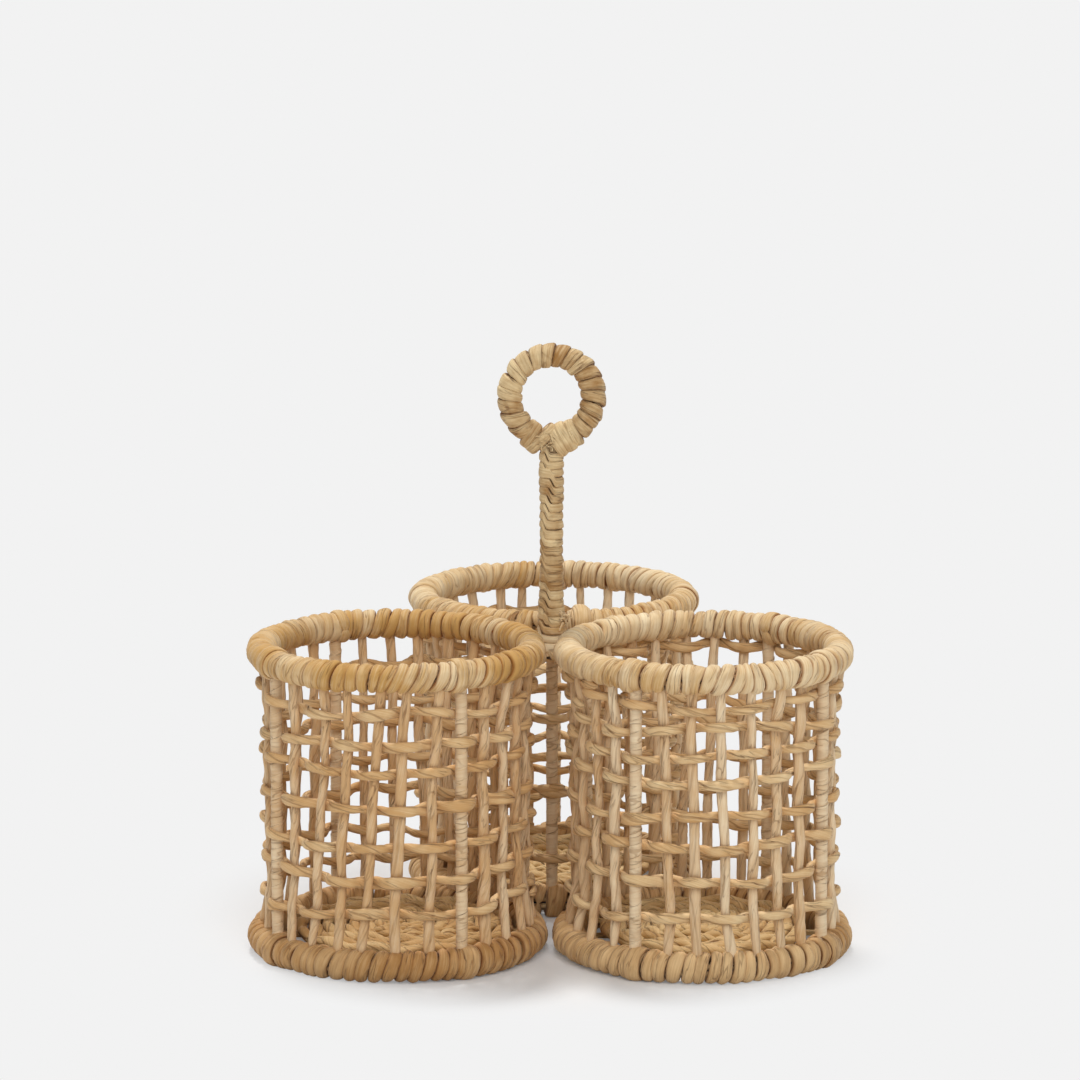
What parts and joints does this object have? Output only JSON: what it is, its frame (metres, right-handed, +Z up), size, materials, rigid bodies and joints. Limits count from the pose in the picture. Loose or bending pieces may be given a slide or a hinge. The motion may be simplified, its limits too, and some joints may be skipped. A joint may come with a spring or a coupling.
{
  "type": "bottle carrier",
  "caption": "Open-weave rush carrier for bottles: round baskets in a clover round a bound stem with a finger ring on top.",
  "frame": {"origin": "on the standing plane, under the middle of the overall box", "axes": "+Z up, +X along the line of the two front baskets, +Y towards the third basket behind"},
  "size_m": [0.282, 0.263, 0.2794],
  "materials": {
    "steel_wire": "dull drawn wire",
    "rush_pale": "pale dried rush, matt with a faint straw sheen",
    "rush_cream": "cream dried rush strip, creased along its length",
    "rush_golden": "golden twisted rush strand",
    "rush_floor": "darker twisted rush strand"
  },
  "bodies": {
    "root": {"left_wire_frame": "steel_wire", "left_post_sleeves": "rush_pale", "left_rim_packing": "rush_cream", "left_rim_binding": "rush_pale", "left_base_packing": "rush_cream", "left_base_binding": "rush_golden", "left_stakes": "rush_pale", "left_weavers": "rush_golden", "left_floor_spokes": "rush_floor", "left_floor_coil": "rush_floor", "right_wire_frame": "steel_wire", "right_post_sleeves": "rush_pale", "right_rim_packing": "rush_cream", "right_rim_binding": "rush_pale", "right_base_packing": "rush_cream", "right_base_binding": "rush_golden", "right_stakes": "rush_pale", "right_weavers": "rush_golden", "right_floor_spokes": "rush_floor", "right_floor_coil": "rush_floor", "back_wire_frame": "steel_wire", "back_post_sleeves": "rush_pale", "back_rim_packing": "rush_cream", "back_rim_binding": "rush_pale", "back_base_packing": "rush_cream", "back_base_binding": "rush_golden", "back_stakes": "rush_pale", "back_weavers": "rush_golden", "back_floor_spokes": "rush_floor", "back_floor_coil": "rush_floor", "stem_wire": "steel_wire", "ring_wire": "steel_wire", "stem_binding": "rush_cream", "ring_binding": "rush_cream", "neck_lashing": "rush_cream", "hub_lashing": "rush_pale"}
  },
  "joints": []
}
